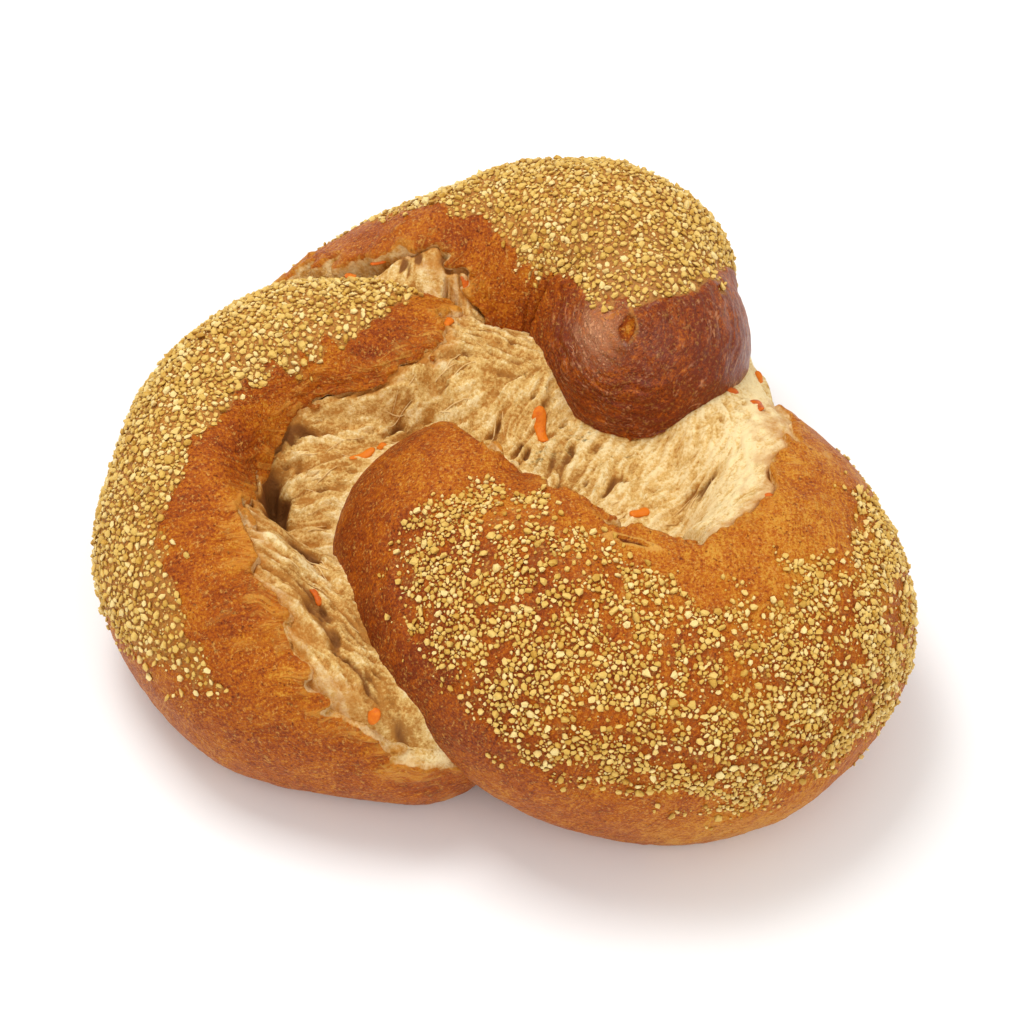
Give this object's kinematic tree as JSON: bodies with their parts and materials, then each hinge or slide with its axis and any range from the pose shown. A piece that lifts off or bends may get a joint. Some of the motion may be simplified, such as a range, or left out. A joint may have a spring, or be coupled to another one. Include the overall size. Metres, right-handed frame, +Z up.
{
  "type": "knotted carrot bread",
  "caption": "Knotted spelt loaf with carrot: browned dough ropes curl round torn pale crumb, strewn with coarse maize grits, flat underneath.",
  "frame": {"origin": "Middle of the loaf's bounding box, on the plane it rests on.", "axes": "+Z up; +X to the right and -Y towards the viewer in the reference picture; the knob lies back right of the middle."},
  "size_m": [0.1844, 0.1714, 0.0807],
  "materials": {
    "crust": "golden to red-brown baked crust, satin, glossy dark on the knob, pale crumb where torn",
    "crumb": "matt, fibrous, finely holed bread crumb",
    "grits": "pale yellow broken maize grains, matt to satin",
    "carrot": "moist orange carrot shreds"
  },
  "bodies": {
    "root": {"loaf": "crust"}
  },
  "joints": []
}
